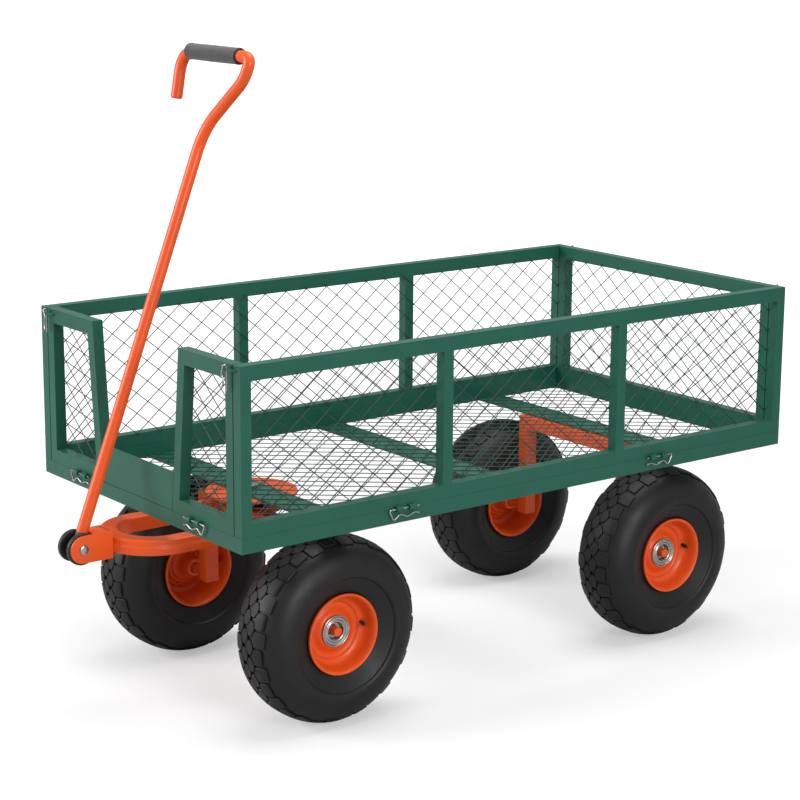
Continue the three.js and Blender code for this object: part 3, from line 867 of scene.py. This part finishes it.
class CART_OT_axles(bpy.types.Operator):
    """Finish the axle frames with their stubs, the turntable and the king pin"""

    bl_idname = "cart.axles"
    bl_label = "Axles and turntable"

    def execute(self, context):
        metal = settings().metal
        for end in ENDS:
            node = f"{end}_axle_frame"
            place(f"{node}_body", softened(node, metal.tube_edge), [node])
        for node in ("turntable_upper", "turntable_lower", "thrust_bush"):
            place(f"{node}_plate", self.plate(node), [node])
        place("king_pin_body", softened("king_pin", metal.plate_edge), ["king_pin"])
        return {"FINISHED"}

    def plate(self, node):
        low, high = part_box(node)
        half, radius = (high.z - low.z) * 500, (high.x - low.x) * 500
        shape = [(-half, PIN_BORE), (half, PIN_BORE), (half, radius), (-half, radius)]
        shape = section(shape, 0.8)
        return turned_mesh(node, shape, 96, Z, box_centre(node))


PIN_BORE = 8.3  # the king pin's hole in the turntable, in millimetres


# ---- drawbar and fork ---------------------------------------------------------------------------

PLATE = 0.003
WELD_GAP = 0.0003
WELD_LAP = 0.0004
WEB_SETBACK = 0.0032
LID_FROM_PIVOT = 0.0202
HOOP_STEPS = 72
SHANK = 0.005


class CART_OT_drawbar(bpy.types.Operator):
    """Press the drawbar hoop, fold the fork and turn its bolt, nut and toothed discs"""

    bl_idname = "cart.drawbar"
    bl_label = "Drawbar and fork"

    def execute(self, context):
        place("drawbar_hoop", self.hoop(), ["drawbar"])
        place("handle_fork_body", self.fork(), ["handle_fork"])
        place("pivot_bolt_body", self.bolt(), ["pivot_bolt"])
        place("pivot_nut_body", softened("pivot_nut", 0.0008), ["pivot_nut"])
        for side, hand in HANDS.items():
            place(f"pivot_disc_{side}_body", self.disc(f"pivot_disc_{side}", hand), [f"pivot_disc_{side}"])
        return {"FINISHED"}

    def hoop(self):
        """An upside-down channel swept along two arms and a half circle."""
        low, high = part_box("drawbar")
        radius = high.x
        centre_y = low.y + radius
        route = [Vector((radius, high.y, 0)), Vector((radius, (high.y + centre_y) / 2, 0))]
        for i in range(HOOP_STEPS + 1):
            turn = -math.pi * i / HOOP_STEPS
            route.append(Vector((radius * math.cos(turn), centre_y + radius * math.sin(turn), 0)))
        route += [Vector((-radius, (high.y + centre_y) / 2, 0)), Vector((-radius, high.y, 0))]
        profile = self.channel(low.z, high.z)
        verts = []
        for i, spot in enumerate(route):
            forward = (route[min(i + 1, len(route) - 1)] - route[max(i - 1, 0)]).normalized()
            inwards = forward.cross(Z)
            verts += [spot + inwards * inset + Z * z for inset, z in profile]
        count = len(profile)
        faces = ring_faces(len(route), count)
        faces += [list(range(count)), list(range(len(verts) - count, len(verts)))]
        return built_mesh("drawbar", verts, faces)

    def channel(self, low, high):
        """The channel's section as (distance in from the outer face, height)."""
        edge = settings().metal.arm_edge
        band, skin, lip, step_down = 0.032, PLATE, 0.0022, 0.002
        waist = low + (high - low) * 0.55
        points = [
            (0, low), (0, waist - step_down), (lip, waist + step_down), (lip, high), (band, high),
            (band, low), (band - skin, low), (band - skin, high - skin), (lip + skin, high - skin),
            (lip + skin, waist), (skin, waist - 2 * step_down), (skin, low),
        ]
        top_edges = (3, 4)
        soft = []
        count = len(points)
        for i, here in enumerate(points):
            reach = edge if i in top_edges else 0.0012
            before, after = Vector(points[i - 1]), Vector(points[(i + 1) % count])
            here = Vector(here)
            enter = here + (before - here).normalized() * min(reach, (before - here).length * 0.45)
            leave = here + (after - here).normalized() * min(reach, (after - here).length * 0.45)
            steps = 5 if i in top_edges else 2
            for step in range(steps + 1):
                t = step / steps
                soft.append(enter.lerp(here, t).lerp(here.lerp(leave, t), t))
        return [(p.x, p.y) for p in soft]

    def fork(self):
        """Two round-nosed cheeks, the web welded to the hoop and the lid that stops the handle."""
        low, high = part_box("handle_fork")
        hoop_low, hoop_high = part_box("drawbar")
        radius = hoop_high.x + WELD_GAP
        hoop_y = hoop_low.y + hoop_high.x
        pivot = Vector(JOINT_AT["handle_tilt"]["pos_m"])
        skin, lobe = PLATE, (high.z - low.z) / 2
        basis = (Y, Z, X)
        back = hoop_y - math.sqrt(radius**2 - high.x**2)
        nose = [(pivot.y + lobe * math.cos(t), pivot.z + lobe * math.sin(t))
                for t in (math.pi / 2 + math.pi * i / 40 for i in range(41))]
        cheek = [(back, high.z), *nose, (back, low.z)]
        shells = []
        edge = settings().metal.plate_edge
        for from_x in (low.x, high.x - skin):
            plate = prism_mesh("cheek", cheek, from_x, from_x + skin, basis)
            shells.append(with_round_edges(plate, edge))
        inner = high.x - skin + WELD_LAP
        front = back - WEB_SETBACK
        stop = pivot.y + LID_FROM_PIVOT
        web = [(front - skin, low.z), (front, low.z), (front, high.z), (front - skin, high.z)]
        lid = [(stop, high.z - skin), (front, high.z - skin), (front, high.z), (stop, high.z)]
        for outline in (web, lid):
            plate = prism_mesh("web", outline, -inner, inner, basis)
            shells.append(with_round_edges(plate, edge))
        return joined("handle_fork", shells)

    def bolt(self):
        """The pivot bolt: a low domed head on the right and a plain shank."""
        low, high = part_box("pivot_bolt")
        centre = box_centre("pivot_bolt")
        start, end = low.x - centre.x, high.x - centre.x
        head, thick, chamfer = (high.z - low.z) / 2, 0.0037, 0.0008
        shape = [
            (start, 0), (start, SHANK - chamfer), (start + chamfer, SHANK), (end - thick, SHANK),
            (end - thick, head), (end - 0.0012, head), (end - 0.0004, head - 0.0016), (end, 0.002),
            (end, 0),
        ]
        return disc_mesh("pivot_bolt", shape, 40, X, centre)

    def disc(self, node, hand):
        """A moulded disc with rings of relief on its outer rim and face."""
        low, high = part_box(node)
        half, radius = (high.x - low.x) * 500, (high.z - low.z) * 500
        bore, dip = SHANK * 1000 + 0.3, half - 0.9
        outer = [(half, bore), (half, 13), (dip, 14), (dip, 21), (half, 22), (half, radius - 1.5)]
        rim = [(half - 1, radius), (-half + 1, radius)]
        inner = [(-half, radius - 1.5), (-half, bore)]
        shape = section([(x * hand, r) for x, r in outer + rim + inner], 0.5, 2)
        return turned_mesh(node, shape, 72, X, box_centre(node))


# ---- pull handle --------------------------------------------------------------------------------

# the loop's bends in millimetres, (across, up along the loop), from its first bend to its free end
LOOP = [(0, 0), (96, 88), (106, 125), (-100, 125), (-97, 44)]


class CART_OT_handle(bpy.types.Operator):
    """Bend the handle tube and slip the foam grip over it"""

    bl_idname = "cart.handle"
    bl_label = "Pull handle"

    def execute(self, context):
        shape = settings().handle
        pivot = Vector(JOINT_AT["handle_tilt"]["pos_m"])
        along = Vector((0, math.sin(shape.lean), math.cos(shape.lean)))
        rise = Vector((0, math.sin(shape.loop_lean), math.cos(shape.loop_lean)))
        start = pivot + along * shape.reach
        loop = [start + Vector((x * 0.001, 0, 0)) + rise * (up * 0.001) for x, up in LOOP]
        route = rounded([pivot - along * 0.012, *loop], shape.bend, 10)
        tube = tube_mesh("handle_tube", subdivided(route, 0.05), shape.radius, 32)
        place("handle_tube_body", tube, ["handle_tube"])
        self.foot(pivot, along, shape.radius)
        place("handle_grip_sleeve", self.grip(), ["handle_grip"])
        return {"FINISHED"}

    def foot(self, pivot, along, radius):
        """The black sleeve over the handle's lower end."""
        inner, outer = radius * 1000 - 1, radius * 1000 + 0.35
        shell = section([(-13, inner), (25, inner), (25, outer), (-13, outer)], 0.3, 2)
        mesh = turned_mesh("handle_foot", shell, 40, along, pivot)
        piece = bpy.data.objects.new("handle_foot_sleeve", mesh)
        bpy.context.collection.objects.link(piece)
        mesh.materials.append(finish("black_plastic"))
        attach(piece, "handle")

    def grip(self):
        """A foam sleeve, slightly barrelled, with a bead at each end."""
        low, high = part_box("handle_grip")
        half, radius = (high.x - low.x) * 500, (high.z - low.z) * 500
        bore = settings().handle.radius * 1000 + 0.4
        # (in from the end, below the full radius)
        bead = [(0, 1.6), (1.5, 0.2), (5, 0), (6.5, 0.8), (9, 0.5)]
        left = [(along - half, radius - below) for along, below in bead]
        right = [(half - along, radius - below) for along, below in reversed(bead)]
        shape = section([*left, (0, radius - 0.1), *right, (half, bore), (-half, bore)], 1.2, 3)
        return turned_mesh("handle_grip", shape, 56, X, box_centre("handle_grip"))


# ---- wheels -------------------------------------------------------------------------------------

# half of the tyre's outer section in millimetres, (across, radius), from the crown to the bead
SIDEWALL = [
    (0, 157.2), (14, 156.7), (26, 154.8), (36, 151), (44.5, 145.5), (51.5, 138.5), (57, 130), (60.5, 121),
    (62.3, 112), (62, 105.5), (60.4, 101), (58.4, 99), (56.8, 98.2), (55.2, 95), (52.2, 88.5), (49.2, 82),
    (46.6, 76), (44.8, 71.6), (43, 70),
]
# and its inner side, from the bead back up to the crown
BEAD_INSIDE = [(38.5, 70), (43, 84), (52, 100), (54, 114), (51, 130), (42, 144), (26, 149), (0, 151)]


def tread_line(spot):
    """Place and outward direction on the carcass, by arc length from the crown."""
    curve = tread_line.curve
    side = 1 if spot >= 0 else -1
    left = abs(spot)
    for here, ahead in zip(curve, curve[1:]):
        run = (ahead - here).length
        if left <= run:
            point = here.lerp(ahead, left / run)
            way = (ahead - here).normalized()
            return Vector((point.x * side, point.y)), Vector((-way.y * side, way.x))
        left -= run
    raise ValueError("a tread block reaches past the bead")


tread_line.curve = catmull([(x * 0.001, r * 0.001) for x, r in SIDEWALL], 6)


def block_mesh(rows, height, end_height):
    """A tread block whose rows are (arc length, first angle, last angle), its top a little drawn in."""
    columns = 3
    draft = 0.0006
    last = len(rows) - 1

    def corner(row, column, inset, lift):
        spot, first, final = rows[row]
        if row in (0, last):
            spot += math.copysign(inset, rows[last][0] - rows[0][0]) * (1 if row == 0 else -1)
        u = column / (columns - 1)
        turn = first + (final - first) * u + inset / TREAD_RADIUS * (1 - 2 * u)
        point, out = tread_line(spot)
        tall = height + (end_height - height) * row / last
        across, radius = point + out * (tall * lift if lift else -0.0012)
        return Vector((across, -radius * math.sin(turn), radius * math.cos(turn)))

    count = len(rows)
    border = [(0, c) for c in range(columns)] + [(r, columns - 1) for r in range(1, count)]
    border += [(last, c) for c in range(columns - 2, -1, -1)] + [(r, 0) for r in range(count - 2, 0, -1)]
    verts = [corner(r, c, draft, 1.0) for r in range(count) for c in range(columns)]
    faces = [
        [r * columns + c, r * columns + c + 1, (r + 1) * columns + c + 1, (r + 1) * columns + c]
        for r in range(last)
        for c in range(columns - 1)
    ]
    rings = [[r * columns + c for r, c in border]]
    for lift, inset in ((0.82, 0.0), (0.0, -0.0004)):
        first = len(verts)
        verts += [corner(r, c, inset, lift) for r, c in border]
        rings.append(list(range(first, first + len(border))))
    for upper, lower in zip(rings, rings[1:]):
        for i in range(len(border)):
            j = (i + 1) % len(border)
            faces.append([upper[i], upper[j], lower[j], lower[i]])
    faces.append(rings[-1])
    return built_mesh("tread block", verts, faces)


TREAD_RADIUS = 0.16  # where angles between blocks are measured
# rows of a block as (arc length in mm, half width as a share of one block's pitch)
CROWN_BLOCK = [(-1.5, 0.14), (3.5, 0.44), (10.5, 0.44), (15.5, 0.14)]
SHOULDER_BLOCK = [(13, 0.1), (18, 0.48), (24, 0.5), (30, 0.5), (34, 0.45)]
SHOULDER_END = {"short": 0.0, "long": 5.0}


def tread_pitch():
    """One pitch of tread: two blocks of each of its four rows, the shoulder's long and short in turn."""
    shape = settings().tyre
    step = math.pi / shape.pitches
    gap = shape.groove / TREAD_RADIUS / 2

    def block(rows, side, middle, lengthen=0.0, end_height=None):
        placed = []
        for i, (spot, share) in enumerate(rows):
            spot += lengthen * (i / (len(rows) - 1)) ** 2
            half = share * step - gap * share * 2
            placed.append((side * spot * 0.001, middle - half, middle + half))
        return block_mesh(placed, shape.block, end_height or shape.block)

    blocks = []
    for i, end in enumerate(SHOULDER_END.values()):
        for side, offset in ((-1, 0.5), (1, 0)):
            blocks.append(block(CROWN_BLOCK, side, (i + offset) * step))
            blocks.append(block(SHOULDER_BLOCK, side, (i + 0.5 + offset) * step, end, 0.003))
    return joined("tread pitch", blocks)


def wheel_centre(end, side):
    return box_centre(f"{end}_{side}_tyre")


class CART_OT_tyres(bpy.types.Operator):
    """Mould the four tyres: a turned carcass and a ring of tread blocks"""

    bl_idname = "cart.tyres"
    bl_label = "Tyres"

    def execute(self, context):
        tree = ring_tree()
        values = {"Pitches": settings().tyre.pitches, "Finish": finish("tyre_rubber")}
        tread = tree_mesh("tread", tree, values, tread_pitch())
        half = [(p.x * 1000, p.y * 1000) for p in tread_line.curve]
        inside = [tuple(p) for p in catmull(BEAD_INSIDE, 2)]
        outline = [*half, *inside, *[(-x, r) for x, r in reversed(inside[:-1])],
                   *[(-x, r) for x, r in reversed(half[1:])]]
        shape = [(x * 0.001, r * 0.001) for x, r in outline]
        carcass = turned_mesh("carcass", shape, 112)
        whole = joined("tyre", [carcass, tread])
        for end, side in WHEELS:
            node = f"{end}_{side}_tyre"
            mesh = whole.copy()
            mesh.transform(Matrix.Translation(wheel_centre(end, side)))
            place(f"{node}_rubber", mesh, [node])
        return {"FINISHED"}


# the rim's section in millimetres, (across, radius): rolled lip, bowl, hub face, then the inner side
RIM_OUTSIDE = [
    (43, 68.5), (46.5, 70.2), (50, 69.8), (51, 67.6), (49.2, 65.2), (45, 63), (38, 61.4), (31, 60.4),
    (24.5, 57.5), (21.5, 53.5), (20.5, 51), (17, 49), (15, 45), (15.5, 40.5), (18.5, 36), (21.5, 33),
    (24, 29.5), (24.4, 22), (24.4, 16.6), (14, 16.6), (14, 8.6),
]
RIM_INSIDE = [
    (-38, 8.6), (-38, 15), (-33, 16.5), (-14, 18.5), (-7, 24), (-6, 29), (-2.5, 31), (-1.5, 36), (2, 38),
    (3, 43), (6, 45.5), (6.5, 51), (3, 57), (-12, 60.6), (-38, 61.4), (-45, 63), (-49.2, 65.2),
    (-51, 67.6), (-50, 69.8), (-46.5, 70.2), (-43, 68.5),
]
RIM_BARREL = [(-41, 65.6), (-34, 63.8), (34, 63.8), (41, 65.6)]


class CART_OT_rims(bpy.types.Operator):
    """Press the rims and fit their bearings and valves"""

    bl_idname = "cart.rims"
    bl_label = "Rims, bearings and valves"

    def execute(self, context):
        for end, side in WHEELS:
            hand = HANDS[side]
            centre = wheel_centre(end, side)
            outwards = X * hand
            rim = section(RIM_OUTSIDE + RIM_INSIDE + RIM_BARREL, 3.0, 3)
            wheel = f"{end}_{side}"
            pressing = turned_mesh("rim", rim, 96, outwards, centre)
            place(f"{wheel}_rim_pressing", pressing, [f"{wheel}_rim"])
            cup = turned_mesh("bearing", self.cup(), 64, outwards, centre)
            place(f"{wheel}_bearing_cup", cup, [f"{wheel}_bearing"])
            place(f"{wheel}_valve_stem", self.valve(f"{wheel}_valve"), [f"{wheel}_valve"])
        return {"FINISHED"}

    def cup(self):
        """The hub's bearing cup: a rolled rim, a dished face and a raised collar."""
        return section([
            (14.4, 9), (14.4, 16.2), (24.8, 16.2), (24.8, 27), (26.4, 28), (28.2, 27.6), (28.8, 26),
            (27.6, 24.6), (25.9, 23.4), (25.9, 20.4), (27.6, 18.6), (27.8, 16.6), (26.6, 15),
            (17, 14.4), (16, 12.5), (16, 9),
        ], 0.7, 3)

    def valve(self, node):
        """A rubber valve stem with a ribbed cap, leaning out of the rim."""
        low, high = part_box(node)
        centre = (low + high) / 2
        lean = math.radians(18)
        axis = Vector((math.cos(lean), -math.sin(lean), 0))
        shape = [(-12, 0), (-12, 3.6), (-6, 3.4), (2, 3.0), (2.3, 3.6), (3.6, 3.6), (3.9, 3.1), (5.2, 3.1),
                 (5.5, 3.5), (10.4, 3.2), (11.6, 2.4), (12, 0)]
        return disc_mesh(node, [(a * 0.001, r * 0.001) for a, r in shape], 24, axis, centre)


# ---- stage --------------------------------------------------------------------------------------

FLOOR_REACH = 60.0
# the floor glows a little for the camera: how much near the cart and how much far off
GLOW_NEAR, GLOW_FAR = 0.4, 1.0
NEAR, FAR = 1.0, 4.0
# each lamp: name, place, size and power
LAMPS = (
    ("overhead softbox", (0.2, 0.4, 3.6), 2.4, 85),
    ("left front softbox", (-2.0, -3.8, 2.0), 2.0, 150),
    ("right softbox", (4.2, -0.6, 1.8), 1.6, 95),
)
CAMERA_AT = (3.0334, -2.3236, 1.3493)
CAMERA_LENS = 97.84
CAMERA_AZIMUTH, CAMERA_RISE, CAMERA_ROLL = 52.40, 13.01, 0.40


class CART_OT_stage(bpy.types.Operator):
    """Lay a pale floor, hang the soft lights and set up the camera"""

    bl_idname = "cart.stage"
    bl_label = "Floor, lights and camera"

    def execute(self, context):
        self.camera()
        self.floor()
        self.lights()
        self.world()
        bpy.context.scene.view_settings.view_transform = "Standard"
        return {"FINISHED"}

    def camera(self):
        data = bpy.data.cameras.new("Camera")
        data.lens = CAMERA_LENS
        data.sensor_width = 36
        data.clip_end = 200
        camera = bpy.data.objects.new("Camera", data)
        azimuth, rise, roll = (math.radians(v) for v in (CAMERA_AZIMUTH, CAMERA_RISE, CAMERA_ROLL))
        back = Vector((
            math.sin(azimuth) * math.cos(rise), -math.cos(azimuth) * math.cos(rise), math.sin(rise)
        ))
        turn = (-back).to_track_quat("-Z", "Y").to_matrix() @ Matrix.Rotation(roll, 3, "Z")
        camera.matrix_world = Matrix.Translation(CAMERA_AT) @ turn.to_4x4()
        bpy.context.scene.collection.objects.link(camera)
        bpy.context.scene.camera = camera

    def floor(self):
        reach = FLOOR_REACH
        corners = [(-reach, -reach, 0), (reach, -reach, 0), (reach, reach, 0), (-reach, reach, 0)]
        mesh = bpy.data.meshes.new("floor")
        mesh.from_pydata(corners, [], [(0, 1, 2, 3)])
        floor = bpy.data.objects.new("floor", mesh)
        bpy.context.scene.collection.objects.link(floor)
        material = bpy.data.materials.new("pale floor")
        material.use_nodes = True
        shader = material.node_tree.nodes["Principled BSDF"]
        shader.inputs["Base Color"].default_value = (0.5, 0.5, 0.5, 1)
        shader.inputs["Roughness"].default_value = 0.85
        shader.inputs["Specular IOR Level"].default_value = 0.1
        shader.inputs["Emission Color"].default_value = (1, 1, 1, 1)
        graph = Tree(material.node_tree)
        seen = graph.node("ShaderNodeLightPath").outputs["Is Camera Ray"]
        where = graph.node("ShaderNodeTexCoord").outputs["Object"]
        away = graph.node("ShaderNodeVectorMath", operation="LENGTH", in0=where).outputs["Value"]
        glow = graph.node("ShaderNodeMapRange", in0=away, in1=NEAR, in2=FAR, in3=GLOW_NEAR, in4=GLOW_FAR)
        graph.feed(shader.inputs["Emission Strength"], graph.maths("MULTIPLY", seen, glow.outputs[0]))
        mesh.materials.append(material)

    def lights(self):
        centre = Vector((0, 0, 0.5))
        for name, place_at, size, power in LAMPS:
            data = bpy.data.lights.new(name, "AREA")
            data.size = size
            data.energy = power
            light = bpy.data.objects.new(name, data)
            light.location = place_at
            light.rotation_euler = (centre - Vector(place_at)).to_track_quat("-Z", "Y").to_euler()
            bpy.context.scene.collection.objects.link(light)

    def world(self):
        world = bpy.data.worlds.new("soft studio")
        world.use_nodes = True
        background = world.node_tree.nodes["Background"]
        background.inputs["Color"].default_value = (1, 1, 1, 1)
        graph = Tree(world.node_tree)
        seen = graph.node("ShaderNodeLightPath").outputs["Is Camera Ray"]
        strength = graph.maths("ADD", graph.maths("MULTIPLY", seen, 0.5), 0.5)
        graph.feed(background.inputs["Strength"], strength)
        bpy.context.scene.world = world


# ---- add-on -------------------------------------------------------------------------------------

STEPS = (
    CART_OT_bed, CART_OT_wire_mesh, CART_OT_clips, CART_OT_axles, CART_OT_drawbar, CART_OT_handle,
    CART_OT_tyres, CART_OT_rims, CART_OT_stage,
)


class CART_PT_panel(bpy.types.Panel):
    """Lists the cart's sizes, colours and building steps"""

    bl_idname = "CART_PT_panel"
    bl_label = "Garden Cart"
    bl_space_type = "VIEW_3D"
    bl_region_type = "UI"
    bl_category = "Garden Cart"

    def draw(self, context):
        chosen = context.scene.garden_cart
        for part in ("colours", "metal", "wire", "tyre", "handle"):
            box = self.layout.box()
            box.label(text=part.title())
            values = getattr(chosen, part)
            for name in values.__annotations__:
                box.prop(values, name)
        for step in STEPS:
            self.layout.operator(step.bl_idname)


CLASSES = (CartColours, CartSheetMetal, CartWire, CartTyre, CartHandle, CartSettings, *STEPS, CART_PT_panel)


def register():
    for cls in CLASSES:
        bpy.utils.register_class(cls)
    bpy.types.Scene.garden_cart = bpy.props.PointerProperty(type=CartSettings)


def unregister():
    del bpy.types.Scene.garden_cart
    for cls in reversed(CLASSES):
        bpy.utils.unregister_class(cls)


def main():
    register()
    for step in STEPS:
        category, name = step.bl_idname.split(".")
        getattr(getattr(bpy.ops, category), name)()


if __name__ == "__main__":
    main()
